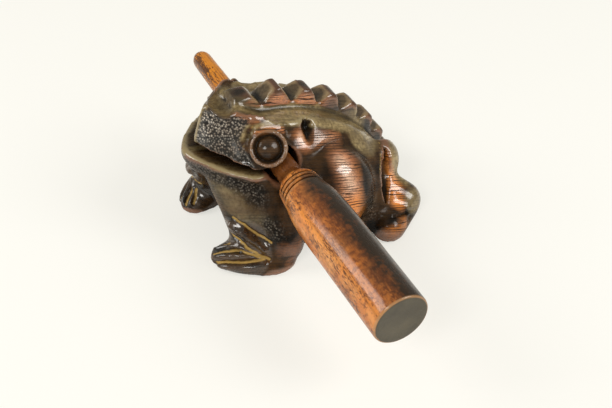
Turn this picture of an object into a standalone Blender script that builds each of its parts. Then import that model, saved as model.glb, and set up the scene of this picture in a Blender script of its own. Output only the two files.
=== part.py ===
"""Frog guiro: a carved wooden frog with a toothed spine, and a turned striker kept in its mouth.

Metres, +Z up. The frog stands on Z = 0 and looks along -Y; +X is the frog's left, the side where the
striker's handle comes out. The origin lies on the flat underside, below the middle of the frog.
"""
import math

import bmesh
import bpy
from mathutils import Matrix, Vector

# Gap kept between the striker and the wood that it rests on.
CLEARANCE = 0.0003

# Spine: an arc that starts over the eyes and comes down over the rump, cut into rounded teeth.
SPINE_CENTRE_Y = -0.010
SPINE_CENTRE_Z = 0.0005
SPINE_REACH = 0.0655
SPINE_RISE = 0.0603
CREST_Z = SPINE_CENTRE_Z + SPINE_RISE
SPINE_TOP_WIDTH = 0.0088
SPINE_FOOT_WIDTH = 0.0120
SPINE_FRONT_DEG = -8.0
SPINE_REAR_DEG = 76.0
TOOTH_COUNT = 8
TOOTH_PITCH_DEG = 12.2
TOOTH_CROWDING_DEG = 0.22
FIRST_TOOTH_DEG = -1.7
NOTCH_DEPTH = 0.0054
NOTCH_ANGLE_DEG = 78.0
NOTCH_FLARE = 1.25
TOOTH_ROUND = 1.45

# Back: a flat ledge on both sides of the spine, a step below the tooth tips, rising to the brow.
LEDGE_STEP = 0.0070
LEDGE_HALF_WIDTH = 0.0168
LEDGE_FRONT_DEG = -10.5
LEDGE_FULL_DEG = 5.0
LEDGE_RUNOUT_DEG = 42.0
LEDGE_TAIL_HALF_WIDTH = 0.0085
SCOOP_Y = -0.0208
SCOOP_LENGTH = 0.0092
SCOOP_WIDTH = 0.0270
SCOOP_DEPTH = 0.0048
TRUNK_HALF_WIDTH = 0.0285
TRUNK_FRONT_Y = -0.021
TRUNK_REAR_Y = 0.0535
TRUNK_FRONT_NARROWING = 0.20
TRUNK_REAR_NARROWING = 0.34
TRUNK_REAR_RUN = 0.0164
TRUNK_ALLOWANCE = 0.0010
# Half of the trunk's section from the back down to the belly, as shares of its half width and half height.
TRUNK_SECTION = (
    (0.0, 1.0), (0.42, 0.985), (0.52, 0.93), (0.76, 0.66),
    (0.93, 0.30), (1.0, -0.05), (0.98, -0.6), (0.9, -1.0),
)
CHEST_LIFT = 0.017
CHEST_RUN = 0.0165
BASE_SINK = 0.003

# Mouth bore, from cheek to cheek below the crest, and the hollow behind it that gives the sound.
BORE_D = 0.0132
BORE_Y = -0.0057
BORE_BELOW_CREST = 0.0204
BORE_Z = CREST_Z - BORE_BELOW_CREST
HOLLOW_LENGTH = 0.046
HOLLOW_WIDTH = 0.034
HOLLOW_HEIGHT = 0.022
HOLLOW_DROP = 0.0075

# Head: a wedge in plan, split by the mouth, which rises to the front; the lower lip stands proud.
LIP_Y = -0.0328
LIP_HALF_WIDTH = 0.0245
LIP_TAPER = 0.0195
MOUTH_GAP = 0.0026
MOUTH_DROP = 0.0020
MOUTH_RISE_DEG = 8.5
HEAD_REAR_Y = 0.010
BROW_BELOW_CREST = 0.0023
BROW_Z = CREST_Z - BROW_BELOW_CREST
BROW_Y = -0.0284
BROW_HALF_WIDTH = 0.0145
BROW_TAPER = 0.0145
FOREHEAD_Y = -0.0240
FOREHEAD_HALF_WIDTH = 0.0105
JAW_PROUD = 0.0046
CHIN_BELOW_BORE = 0.0119
CHIN_Z = BORE_Z - CHIN_BELOW_BORE
CHIN_NARROWING = 0.58
JAW_NARROWING = 0.82
CHIN_SETBACK = 0.0060

# Eyes: a bulge on each cheek with a ring groove round a dome.
EYE_OUT = 0.0186
EYE_Y = -0.0102
EYE_ABOVE_BORE = 0.0058
EYE_Z = BORE_Z + EYE_ABOVE_BORE
EYE_BULGE = 0.0078
EYE_HEIGHT = 0.0050
EYE_FACING = Vector((0.72, -0.31, 0.62))
EYE_RING = 0.0056
EYE_RING_DEPTH = 0.0010
EYE_RING_WIDTH = 0.0022

# Knife cuts reach this far out of the wood.
KNIFE_LIFT = 0.010

# Notch behind each eye, one slanting knife cut.
EAR_TOP = Vector((0.0125, 0.0092, CREST_Z - 0.0080))
EAR_LOW = Vector((0.0226, 0.0060, BORE_Z + 0.0010))
EAR_WIDTH = 0.0032
EAR_DEPTH = 0.0038
EAR_DEEPEST = 0.30

# Front legs: broad arms that part below the chin, and feet like fans, turned inward.
SHOULDER = Vector((0.0105, -0.0205, 0.0330))
FOREARM = Vector((0.0165, -0.0183, 0.0210))
WRIST = Vector((0.0205, -0.0168, 0.0098))
ARM_R = 0.0108
FOREARM_R = 0.0102
WRIST_R = 0.0098
ELBOW = Vector((0.0290, -0.0095, 0.0090))
ELBOW_R = 0.0092
UPPER_ARM = Vector((0.0190, -0.0095, 0.0300))
UPPER_ARM_R = 0.0086
FRONT_FOOT = Vector((0.0260, -0.0205, 0.0015))
FAR_FOOT_SHIFT = Vector((0.0045, 0.0015, 0.0))
FRONT_FOOT_R = Vector((0.0172, 0.0098, 0.0062))
FRONT_FOOT_TURN_DEG = 237.0
TOE_FAN = Vector((0.0325, -0.0160, 0.0075))
TOE_GROOVES = 3
TOE_GROOVE_FAN_DEG = 15.0
TOE_GROOVE_LENGTH = 0.0240
TOE_GROOVE_WIDTH = 0.0012
TOE_GROOVE_DEPTH = 0.0030
TOE_SLOPE_DEG = 11.0

# Hind legs: a large thigh, a shin rolled down over the rump, and a foot on the ground.
THIGH = Vector((0.0250, 0.0145, 0.0215))
THIGH_R = Vector((0.0128, 0.0175, 0.0190))
THIGH_LEAN_DEG = 20.0
HIP = Vector((0.0128, 0.0402, 0.0206))
SHIN = Vector((0.0182, 0.0386, 0.0116))
HEEL = Vector((0.0252, 0.0472, 0.0060))
HIP_R = 0.0102
SHIN_R = 0.0088
HEEL_R = 0.0076
HIND_TOE = Vector((0.0350, 0.0350, 0.0030))
HIND_FOOT_R = 0.0068
HAUNCH = Vector((0.0240, 0.0300, 0.0080))
HAUNCH_R = Vector((0.0090, 0.0130, 0.0110))
INSTEP_WIDTH = 0.0010
INSTEP_DEPTH = 0.0024
GROIN_TOP = Vector((0.0130, 0.0430, 0.0325))
GROIN_LOW = Vector((0.0330, 0.0330, 0.0060))
GROIN_WIDTH = 0.0034
GROIN_DEPTH = 0.0046

# Striker: turned from one stick, measured along its own axis from the middle of the bore.
TIP_REACH = 0.058
TIP_D = 0.0080
ROD_D = 0.0093
RIM_D = 0.0095
RIM_REACH = 0.0285
LEAN_DEG = 16.0
NECK_START = 0.0292
NECK_END = 0.0355
NECK_END_D = 0.0156
RING_GROOVES = 3
RING_PITCH = 0.0021
RING_DEPTH = 0.0006
SHOULDER_D = 0.0174
HANDLE_D = 0.0206
HANDLE_FLARE = 0.012
HANDLE_REACH = 0.1085
HANDLE_EDGE = 0.0006

# Fineness of the carved surface.
GRAIN = 0.0013
SANDING = 5
KEEP = 0.22
ROUND = 28

UP = Vector((0.0, 0.0, 1.0))
LEFT = Vector((1.0, 0.0, 0.0))


def wood(name, colour, roughness):
    """A lacquered wood finish."""
    material = bpy.data.materials.new(name)
    material.use_nodes = True
    shader = material.node_tree.nodes["Principled BSDF"]
    shader.inputs["Base Color"].default_value = (*colour, 1.0)
    shader.inputs["Roughness"].default_value = roughness
    shader.inputs["Metallic"].default_value = 0.0
    return material


def add_loft(bm, rings):
    """Close a skin over a row of rings that have the same number of points."""
    rows = [[bm.verts.new(point) for point in ring] for ring in rings]
    count = len(rows[0])
    for row, following in zip(rows, rows[1:]):
        for i in range(count):
            j = (i + 1) % count
            bm.faces.new((row[i], row[j], following[j], following[i]))
    bm.faces.new(list(reversed(rows[0])))
    bm.faces.new(rows[-1])


def add_ball(bm, centre, radii, turn=Matrix.Identity(3)):
    """An ellipsoid with its own turn."""
    made = bmesh.ops.create_uvsphere(bm, u_segments=ROUND, v_segments=ROUND // 2, radius=1.0)
    for vert in made["verts"]:
        scaled = Vector((vert.co.x * radii[0], vert.co.y * radii[1], vert.co.z * radii[2]))
        vert.co = centre + turn @ scaled


def add_limb(bm, points, radii, widen=1.0):
    """A round limb along a row of points, with a ball at each end; widen stretches it sideways."""
    rings = []
    for i, (point, radius) in enumerate(zip(points, radii)):
        before = points[max(i - 1, 0)]
        after = points[min(i + 1, len(points) - 1)]
        along = (after - before).normalized()
        side = along.cross(UP).normalized()
        top = side.cross(along).normalized()
        ring = []
        for k in range(ROUND):
            angle = 2.0 * math.pi * k / ROUND
            ring.append(point + side * (math.cos(angle) * radius * widen) + top * (math.sin(angle) * radius))
        rings.append(ring)
    add_loft(bm, rings)
    for point, along, radius in ((points[0], points[1] - points[0], radii[0]),
                                 (points[-1], points[-1] - points[-2], radii[-1])):
        side = along.normalized().cross(UP).normalized()
        turn = Matrix((side, UP.cross(side), UP)).transposed()
        add_ball(bm, point, (radius * widen, radius, radius), turn)


def mirrored(vector):
    """The same place on the frog's right side."""
    return Vector((-vector.x, vector.y, vector.z))


def finish_mesh(bm, name):
    """Turn the skins outward and make an object of them."""
    bmesh.ops.recalc_face_normals(bm, faces=bm.faces)
    mesh = bpy.data.meshes.new(name)
    bm.to_mesh(mesh)
    bm.free()
    obj = bpy.data.objects.new(name, mesh)
    bpy.context.scene.collection.objects.link(obj)
    return obj


def cut(target, bm, name):
    """Take the shapes in bm away from the target."""
    cutter = finish_mesh(bm, name)
    cutter.hide_render = True
    cutter.display_type = "WIRE"
    boolean = target.modifiers.new(name, "BOOLEAN")
    boolean.operation = "DIFFERENCE"
    boolean.solver = "EXACT"
    boolean.object = cutter


def spine_point(angle, drop=0.0):
    """A place on the arc of tooth tips, or a step below it."""
    y = SPINE_CENTRE_Y + (SPINE_REACH - drop) * math.sin(angle)
    z = SPINE_CENTRE_Z + (SPINE_RISE - drop) * math.cos(angle)
    return Vector((0.0, y, z))


def ledge_step(angle):
    """Depth of the ledge below the tooth tips: none at the brow, full past the eyes, less at the rump."""
    share = (math.degrees(angle) - LEDGE_FRONT_DEG) / (LEDGE_FULL_DEG - LEDGE_FRONT_DEG)
    share = min(max(share, 0.0), 1.0)
    runout = (math.degrees(angle) - LEDGE_RUNOUT_DEG) / (SPINE_REAR_DEG - LEDGE_RUNOUT_DEG)
    runout = min(max(runout, 0.0), 1.0)
    return LEDGE_STEP * share * share * (3.0 - 2.0 * share) - TRUNK_ALLOWANCE * 2.0 * runout


def ledge_width(angle):
    """Half width of the ledges: narrow at the front, full behind the eyes, narrow at the rump."""
    share = (math.degrees(angle) - LEDGE_FRONT_DEG) / (2.0 * LEDGE_FULL_DEG - LEDGE_FRONT_DEG)
    share = min(max(share, 0.0), 1.0)
    least = SPINE_FOOT_WIDTH * 0.55
    tail = (math.degrees(angle) - LEDGE_RUNOUT_DEG) / (SPINE_REAR_DEG - LEDGE_RUNOUT_DEG)
    tail = min(max(tail, 0.0), 1.0)
    full = LEDGE_HALF_WIDTH + (LEDGE_TAIL_HALF_WIDTH - LEDGE_HALF_WIDTH) * tail
    return least + (full - least) * math.sqrt(share)


def ledge_height(y):
    """Height of the back's ledge at a place along the frog."""
    share = (y - SPINE_CENTRE_Y) / (SPINE_REACH - LEDGE_STEP)
    return SPINE_CENTRE_Z + (SPINE_RISE - LEDGE_STEP) * math.sqrt(max(1.0 - share * share, 0.0))


def add_trunk(bm):
    """The back and belly: sections across the frog from the chest to the rump."""
    rings = []
    steps = 18
    mirror = tuple((-wide, high) for wide, high in TRUNK_SECTION[1:])
    outline = mirror + tuple(reversed(TRUNK_SECTION))
    for i in range(steps + 1):
        share = i / steps
        y = TRUNK_FRONT_Y + (TRUNK_REAR_Y - TRUNK_FRONT_Y) * share
        top = ledge_height(max(y, SPINE_CENTRE_Y)) + TRUNK_ALLOWANCE
        ahead = max(1.0 - (y - TRUNK_FRONT_Y) / CHEST_RUN, 0.0)
        behind = max(1.0 - (TRUNK_REAR_Y - y) / TRUNK_REAR_RUN, 0.0)
        half = TRUNK_HALF_WIDTH * (1.0 - TRUNK_FRONT_NARROWING * ahead)
        half = half * (1.0 - TRUNK_REAR_NARROWING * behind)
        bottom = CHEST_LIFT * ahead - BASE_SINK
        middle = (top + bottom) * 0.5
        tall = (top - bottom) * 0.5
        ring = []
        for wide, high in outline:
            ring.append(Vector((half * wide, y, middle + tall * high)))
        rings.append(ring)
    add_loft(bm, rings)


def mouth_height(y):
    """Height of the mouth's line at a place along the frog; it starts at the bore."""
    return BORE_Z - MOUTH_DROP + (BORE_Y - y) * math.tan(math.radians(MOUTH_RISE_DEG))


def add_head(bm):
    """Level slices of a wedge, from the chin to the brow."""
    lip_z = mouth_height(LIP_Y)
    jaw_y = LIP_Y - JAW_PROUD
    jaw_half = LIP_HALF_WIDTH + JAW_PROUD * 0.4
    lip = lip_z - MOUTH_GAP * 0.4
    rows = (
        (CHIN_Z, jaw_y + CHIN_SETBACK + JAW_PROUD, jaw_half * CHIN_NARROWING, LIP_TAPER, 1.55),
        (CHIN_Z + (lip - CHIN_Z) * 0.25, jaw_y + CHIN_SETBACK * 0.6, jaw_half * JAW_NARROWING,
         LIP_TAPER, 1.55),
        (CHIN_Z + (lip - CHIN_Z) * 0.7, jaw_y + CHIN_SETBACK * 0.1, jaw_half * 0.98, LIP_TAPER, 1.55),
        (lip, jaw_y, jaw_half, LIP_TAPER, 1.55),
        (lip + MOUTH_GAP * 0.3, LIP_Y, LIP_HALF_WIDTH, LIP_TAPER, 1.55),
        (BROW_Z, BROW_Y, BROW_HALF_WIDTH, BROW_TAPER, 1.15),
        (CREST_Z, FOREHEAD_Y, FOREHEAD_HALF_WIDTH, BROW_TAPER * 0.7, 1.3),
    )
    rings = []
    steps = ROUND
    for z, front, half, taper, power in rows:
        ring = []
        for k in range(steps + 1):
            across = -1.0 + 2.0 * k / steps
            ring.append(Vector((half * across, front + taper * abs(across) ** power, z)))
        ring.append(Vector((half * 0.8, HEAD_REAR_Y, z)))
        ring.append(Vector((-half * 0.8, HEAD_REAR_Y, z)))
        rings.append(ring)
    add_loft(bm, rings)


def add_spine(bm):
    """The raised band that the teeth are cut from."""
    rings = []
    steps = 40
    for i in range(steps + 1):
        angle = math.radians(SPINE_FRONT_DEG + (SPINE_REAR_DEG - SPINE_FRONT_DEG) * i / steps)
        tip = spine_point(angle)
        foot = spine_point(angle, LEDGE_STEP * 1.5)
        half = SPINE_FOOT_WIDTH * 0.5 + TRUNK_ALLOWANCE
        rings.append([foot + LEFT * half, tip + LEFT * half, tip - LEFT * half, foot - LEFT * half])
    add_loft(bm, rings)


def foot_place(point, side):
    """A point of a front foot; the far foot of this hand-carved frog stands further in."""
    if side > 0.0:
        return Vector(point)
    return mirrored(point) + FAR_FOOT_SHIFT


def eye_turn(side):
    """Turn of an eye, from its own axes to the frog's: the third axis looks out of the head."""
    out = Vector((side * EYE_FACING.x, EYE_FACING.y, EYE_FACING.z)).normalized()
    across = out.cross(UP).normalized()
    return Matrix((across, across.cross(out), out)).transposed()


def add_legs(bm):
    """Front and hind legs on both sides, and the eye bulges."""
    lean = Matrix.Rotation(math.radians(THIGH_LEAN_DEG), 3, "X")
    for side, place in ((1.0, Vector), (-1.0, mirrored)):
        add_limb(bm, [place(SHOULDER), place(FOREARM), place(WRIST)], (ARM_R, FOREARM_R, WRIST_R))
        add_limb(bm, [place(UPPER_ARM), place(ELBOW)], (UPPER_ARM_R, ELBOW_R))
        heading = math.radians(FRONT_FOOT_TURN_DEG if side > 0.0 else 180.0 - FRONT_FOOT_TURN_DEG)
        add_ball(bm, foot_place(FRONT_FOOT, side), FRONT_FOOT_R, Matrix.Rotation(heading, 3, "Z"))
        add_ball(bm, place(THIGH), THIGH_R, lean)
        add_ball(bm, place(HAUNCH), HAUNCH_R)
        add_limb(bm, [place(HIP), place(SHIN), place(HEEL)], (HIP_R, SHIN_R, HEEL_R))
        sole = place(HEEL) - UP * (HEEL.z - HIND_TOE.z)
        add_limb(bm, [sole, place(HIND_TOE)], (HIND_FOOT_R, HIND_FOOT_R))
        eye = place(Vector((EYE_OUT, EYE_Y, EYE_Z)))
        add_ball(bm, eye, (EYE_BULGE, EYE_BULGE, EYE_HEIGHT), eye_turn(side))


def add_chisel(bm, start, end, out, width, depth, deepest=0.5):
    """A V-shaped knife cut from start to end: deepest at a share of its way, running out at both ends."""
    middle = start.lerp(end, deepest)
    up = out.normalized()
    side = (end - start).cross(up).normalized() * width
    rim = [bm.verts.new(middle + side), bm.verts.new(middle + up * KNIFE_LIFT), bm.verts.new(middle - side),
           bm.verts.new(middle - up * depth)]
    tips = (bm.verts.new(start), bm.verts.new(end))
    for k in range(4):
        n = (k + 1) % 4
        bm.faces.new((rim[k], rim[n], tips[0]))
        bm.faces.new((rim[n], rim[k], tips[1]))


def add_knife_cuts(bm):
    """The notch behind each eye, the creases between the toes and the crease over each hind foot."""
    for side, place in ((1.0, Vector), (-1.0, mirrored)):
        out = Vector((side * 0.75, 0.0, 0.66))
        add_chisel(bm, place(EAR_TOP), place(EAR_LOW), out, EAR_WIDTH, EAR_DEPTH, EAR_DEEPEST)
        for i in range(TOE_GROOVES):
            turn = math.radians(FRONT_FOOT_TURN_DEG + TOE_GROOVE_FAN_DEG * (i - (TOE_GROOVES - 1) * 0.5))
            fall = -math.tan(math.radians(TOE_SLOPE_DEG))
            ahead = Vector((math.cos(turn), math.sin(turn), fall)) * TOE_GROOVE_LENGTH
            start = foot_place(TOE_FAN, side)
            end = foot_place(TOE_FAN + ahead, side)
            add_chisel(bm, start, end, UP, TOE_GROOVE_WIDTH, TOE_GROOVE_DEPTH)
        groin = Vector((side * 0.80, 0.45, 0.40))
        add_chisel(bm, place(GROIN_TOP), place(GROIN_LOW), groin, GROIN_WIDTH, GROIN_DEPTH)
        crease_a = HEEL + Vector((HEEL_R * 1.6, -HEEL_R * 2.0, -HEEL_R * 0.2))
        crease_b = HEEL + Vector((HEEL_R * 0.9, HEEL_R * 1.1, -HEEL_R * 0.2))
        instep = Vector((side * 0.85, 0.5, 0.1))
        add_chisel(bm, place(crease_a), place(crease_b), instep, INSTEP_WIDTH, INSTEP_DEPTH)


def add_ledges(bm):
    """The flat step on both sides of the spine, pared down from the brow to the rump."""
    steps = 30
    for side in (1.0, -1.0):
        rings = []
        for i in range(steps + 1):
            angle = math.radians(LEDGE_FRONT_DEG + (SPINE_REAR_DEG + 12.0 - LEDGE_FRONT_DEG) * i / steps)
            floor = spine_point(angle, ledge_step(angle))
            above = spine_point(angle, -LEDGE_STEP)
            tip = spine_point(angle)
            wide = ledge_width(angle)
            rings.append([
                floor + LEFT * (side * SPINE_FOOT_WIDTH * 0.5),
                floor + LEFT * (side * wide),
                above + LEFT * (side * wide),
                above + LEFT * (side * SPINE_TOP_WIDTH * 0.5),
                tip + LEFT * (side * SPINE_TOP_WIDTH * 0.5),
            ])
        add_loft(bm, rings)


def add_scoop(bm):
    """The hollow in the forehead in front of the first tooth, where the two ledges meet."""
    centre = Vector((0.0, SCOOP_Y, CREST_Z))
    add_ball(bm, centre, (SCOOP_WIDTH * 0.5, SCOOP_LENGTH * 0.5, SCOOP_DEPTH))


def add_notches(bm):
    """One V across the spine between each pair of teeth."""
    widest = NOTCH_DEPTH * math.tan(math.radians(NOTCH_ANGLE_DEG) * 0.5) * NOTCH_FLARE
    reach = SPINE_FOOT_WIDTH * 0.5 + TRUNK_ALLOWANCE * 2.0
    flanks = 5
    for i in range(1, TOOTH_COUNT):
        place = i - 0.5
        angle = math.radians(FIRST_TOOTH_DEG + TOOTH_PITCH_DEG * place - TOOTH_CROWDING_DEG * place * place)
        half = widest * (1.0 - 2.0 * TOOTH_CROWDING_DEG * place / TOOTH_PITCH_DEG)
        tip = spine_point(angle)
        out = (tip - spine_point(angle, NOTCH_DEPTH)).normalized()
        along = LEFT.cross(out).normalized()
        outline = []
        for k in range(-flanks, flanks + 1):
            share = k / flanks
            sink = NOTCH_DEPTH * (1.0 - abs(share)) ** TOOTH_ROUND
            outline.append(tip + along * (half * share) - out * sink)
        outline.append(tip + along * half + out * NOTCH_DEPTH)
        outline.append(tip - along * half + out * NOTCH_DEPTH)
        rings = []
        for side in (-reach, reach):
            rings.append([point + LEFT * side for point in outline])
        add_loft(bm, rings)


def add_mouth(bm):
    """The saw cut of the mouth, from the lips back to the bore."""
    wide = LIP_HALF_WIDTH * 1.5
    rings = []
    for y in (LIP_Y - JAW_PROUD - 0.01, BORE_Y):
        low = mouth_height(y) - MOUTH_GAP * 0.5
        high = mouth_height(y) + MOUTH_GAP * 0.5
        rings.append([
            Vector((-wide, y, low)), Vector((wide, y, low)),
            Vector((wide, y, high)), Vector((-wide, y, high)),
        ])
    add_loft(bm, rings)


def add_bore(bm):
    """The cross hole that keeps the striker."""
    rings = []
    for x in (-LIP_HALF_WIDTH * 1.7, LIP_HALF_WIDTH * 1.7):
        ring = []
        for k in range(ROUND):
            angle = 2.0 * math.pi * k / ROUND
            across = math.cos(angle) * BORE_D * 0.5
            up = math.sin(angle) * BORE_D * 0.5
            ring.append(Vector((x, BORE_Y + across, BORE_Z + up)))
        rings.append(ring)
    add_loft(bm, rings)


def add_hollow(bm):
    """The sound chamber: scooped out behind the bore."""
    centre = Vector((0.0, BORE_Y + HOLLOW_LENGTH * 0.4, BORE_Z - HOLLOW_DROP))
    add_ball(bm, centre, (HOLLOW_WIDTH * 0.5, HOLLOW_LENGTH * 0.5, HOLLOW_HEIGHT * 0.5))


def add_eye_rings(bm):
    """A round groove on each eye, leaving a dome in the middle."""
    for side in (1.0, -1.0):
        turn = eye_turn(side)
        out = turn.col[2]
        lift = EYE_HEIGHT * math.sqrt(1.0 - (EYE_RING / EYE_BULGE) ** 2)
        centre = Vector((side * EYE_OUT, EYE_Y, EYE_Z)) + out * lift
        ring = []
        for k in range(ROUND):
            angle = 2.0 * math.pi * k / ROUND
            spoke = turn @ Vector((math.cos(angle), math.sin(angle), 0.0))
            ring.append([
                centre + spoke * (EYE_RING - EYE_RING_WIDTH * 0.5) + out * KNIFE_LIFT,
                centre + spoke * EYE_RING - out * EYE_RING_DEPTH,
                centre + spoke * (EYE_RING + EYE_RING_WIDTH * 0.5) + out * KNIFE_LIFT,
            ])
        rows = [[bm.verts.new(point) for point in section] for section in ring]
        for k in range(ROUND):
            this = rows[k]
            after = rows[(k + 1) % ROUND]
            for j in range(3):
                n = (j + 1) % 3
                bm.faces.new((this[j], this[n], after[n], after[j]))


def add_ground(bm):
    """Everything below the surface that the frog stands on."""
    made = bmesh.ops.create_cube(bm, size=0.3)
    for vert in made["verts"]:
        vert.co.z -= 0.15


def build_frog(material):
    """Carve the frog: rough forms joined in one block, smoothed, then cut with sharp tools."""
    bm = bmesh.new()
    add_trunk(bm)
    add_head(bm)
    add_spine(bm)
    add_legs(bm)
    frog = finish_mesh(bm, "frog_body")
    frog.data.materials.append(material)
    block = frog.modifiers.new("one_block", "REMESH")
    block.mode = "VOXEL"
    block.voxel_size = GRAIN
    soften = frog.modifiers.new("sanding", "SMOOTH")
    soften.factor = 0.5
    soften.iterations = SANDING
    thin = frog.modifiers.new("facets", "DECIMATE")
    thin.ratio = KEEP
    cuts = (
        ("ground", add_ground), ("ledges", add_ledges), ("scoop", add_scoop),
        ("notches", add_notches), ("knife_cuts", add_knife_cuts), ("eye_rings", add_eye_rings),
        ("mouth_cut", add_mouth), ("bore", add_bore), ("hollow", add_hollow),
    )
    for name, shape in cuts:
        bm = bmesh.new()
        shape(bm)
        cut(frog, bm, name)
    return frog


def striker_profile():
    """Places along the stick and the radius there, from the tip to the handle's end."""
    tip = TIP_D * 0.5
    points = []
    for k in range(1, 6):
        angle = math.radians(90.0 * k / 5)
        points.append((-TIP_REACH + tip * (1.0 - math.cos(angle)), tip * math.sin(angle)))
    points.append((0.0, ROD_D * 0.5))
    points.append((NECK_START, RIM_D * 0.5))
    points.append((NECK_START + 0.0016, RIM_D * 0.5 + 0.0002))
    points.append((NECK_END, NECK_END_D * 0.5))
    slope = (SHOULDER_D - NECK_END_D) * 0.5 / (RING_PITCH * (RING_GROOVES + 0.6))
    for i in range(RING_GROOVES):
        start = NECK_END + RING_PITCH * (i + 0.35)
        for share, depth in ((0.0, 0.0), (0.12, RING_DEPTH), (0.38, RING_DEPTH), (0.5, 0.0)):
            x = start + RING_PITCH * share
            points.append((x, NECK_END_D * 0.5 + slope * (x - NECK_END) - depth))
    shoulder = NECK_END + RING_PITCH * (RING_GROOVES + 0.6)
    for k in range(7):
        angle = math.radians(90.0 * k / 6)
        x = shoulder + HANDLE_FLARE * (1.0 - math.cos(angle))
        points.append((x, SHOULDER_D * 0.5 + (HANDLE_D - SHOULDER_D) * 0.5 * math.sin(angle)))
    points.append((HANDLE_REACH - HANDLE_EDGE, HANDLE_D * 0.5))
    points.append((HANDLE_REACH, HANDLE_D * 0.5 - HANDLE_EDGE))
    return points


def build_striker(material):
    """Turn the stick and lay it in the bore: the handle's weight tips it onto the near rim."""
    bm = bmesh.new()
    rings = []
    for x, radius in striker_profile():
        ring = []
        for k in range(ROUND + 8):
            angle = 2.0 * math.pi * k / (ROUND + 8)
            ring.append(Vector((x, radius * math.cos(angle), radius * math.sin(angle))))
        rings.append(ring)
    add_loft(bm, rings)
    striker = finish_mesh(bm, "striker")
    striker.data.materials.append(material)
    tilt = math.atan((BORE_D * 0.5 - RIM_D * 0.5 - CLEARANCE) / RIM_REACH)
    lean = Matrix.Rotation(math.radians(LEAN_DEG), 4, "X")
    drop = Matrix.Rotation(tilt, 4, "Y")
    striker.matrix_world = Matrix.Translation((0.0, BORE_Y, BORE_Z)) @ lean @ drop @ lean.inverted()
    return striker


def shade(obj, angle_deg):
    """Smooth shading with the sharp cuts kept."""
    obj.data.shade_smooth()
    obj.data.set_sharp_from_angle(angle=math.radians(angle_deg))


def main():
    for obj in list(bpy.data.objects):
        bpy.data.objects.remove(obj)
    dark = wood("stained_wood", (0.055, 0.026, 0.016), 0.32)
    warm = wood("striker_wood", (0.30, 0.11, 0.035), 0.36)
    frog = build_frog(dark)
    striker = build_striker(warm)
    shade(striker, 35.0)
    shade(frog, 50.0)


main()
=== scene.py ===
"""Looks of the frog guiro: the carved, stained frog and its turned striker on a pale floor."""

import math

import bpy
import numpy as np
from mathutils import Matrix, Vector
from mathutils.kdtree import KDTree


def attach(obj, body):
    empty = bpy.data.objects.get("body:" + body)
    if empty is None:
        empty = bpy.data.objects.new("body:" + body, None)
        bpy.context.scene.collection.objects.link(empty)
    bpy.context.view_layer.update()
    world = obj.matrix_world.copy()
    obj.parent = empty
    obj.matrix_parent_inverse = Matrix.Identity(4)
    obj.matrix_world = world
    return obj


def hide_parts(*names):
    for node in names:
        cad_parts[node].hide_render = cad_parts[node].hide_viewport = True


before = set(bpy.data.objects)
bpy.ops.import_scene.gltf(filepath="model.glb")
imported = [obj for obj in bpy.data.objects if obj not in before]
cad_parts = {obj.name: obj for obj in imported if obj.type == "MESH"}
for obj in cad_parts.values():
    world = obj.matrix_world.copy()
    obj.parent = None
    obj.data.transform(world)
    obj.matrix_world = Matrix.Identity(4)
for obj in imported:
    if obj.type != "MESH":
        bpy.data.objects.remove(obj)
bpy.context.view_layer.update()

# Sizes of the carving, in millimetres.
MM = 0.001
VOXEL = 0.8
WELD = 0.01
PATH_STEP = 1.2
NO_SHIFT = (0.0, 0.0, 0.0)
FAR_FOOT_SHIFT = (4.5, 1.5, 0.0)
FOOT_MIDDLE = (25.5, -25.0, 8.0)
FOOT_REACH = (13.5, 13.0, 14.5)
HIND_FOOT = ((33.5, 41.0, 8.0), (9.0, 13.0, 7.0))
MOUTH_BORE = (0.0, -5.7, 40.4)
MOUTH_DROP = 2.0
MOUTH_SLOPE = math.tan(math.radians(8.5))
MOUTH_GAP = 2.6
SPINE_MIDDLE = (-10.0, 0.5)
SPINE_SPAN = (65.5, 60.3)

# Eyes: a ball inside a groove inside a rim, on a flat disc.
EYE_FRONT = (22.4, -11.0, 48.9)
EYE_FACING = (0.72, -0.31, 0.62)
EYE_DISC_R = 6.5
EYE_DISC_THICK = 1.8
EYE_DISC_SINK = 1.3
EYE_DISC_SIDES = 48
EYE_BALL_R, EYE_BALL_RISE = 4.3, 1.0
EYE_GROOVE_R, EYE_GROOVE_WIDTH, EYE_GROOVE_DEPTH = 4.8, 0.7, 1.2
EYE_RIM_R, EYE_RIM_WIDTH, EYE_RIM_RISE = 6.2, 0.8, 0.9
EYE_ZONE_R = 8.8
EYE_ZONE_DEPTH = 6.0
EYE_ZONE_INNER_X = 8.0
FAR_AWAY = 99.0

# Knife cuts: the points that the blade passes, its width and its depth. Both sides of the frog have them.
KNIFE_CUTS = {
    "cut_before_eye": (((17.0, -18.6, 48.6), (15.9, -15.3, 53.9), (15.6, -13.7, 56.1)), 0.9, 0.9),
    "gouge_over_eye": (((15.8, -0.8, 53.1), (17.2, -0.9, 51.6), (18.9, -2.0, 49.3)), 0.9, 1.1),
    "flank_crease": (((23.0, 8.7, 41.0), (20.3, 15.6, 41.9), (18.6, 22.2, 40.5)), 0.8, 0.8),
    "hind_foot": (((34.6, 32.9, 9.4), (36.7, 35.8, 9.3), (35.2, 41.8, 8.1), (32.3, 49.3, 5.2)), 0.75, 1.4),
    "nostril": (((3.0, -27.6, 54.2), (4.3, -27.2, 53.2)), 0.7, 0.9),
}
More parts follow.
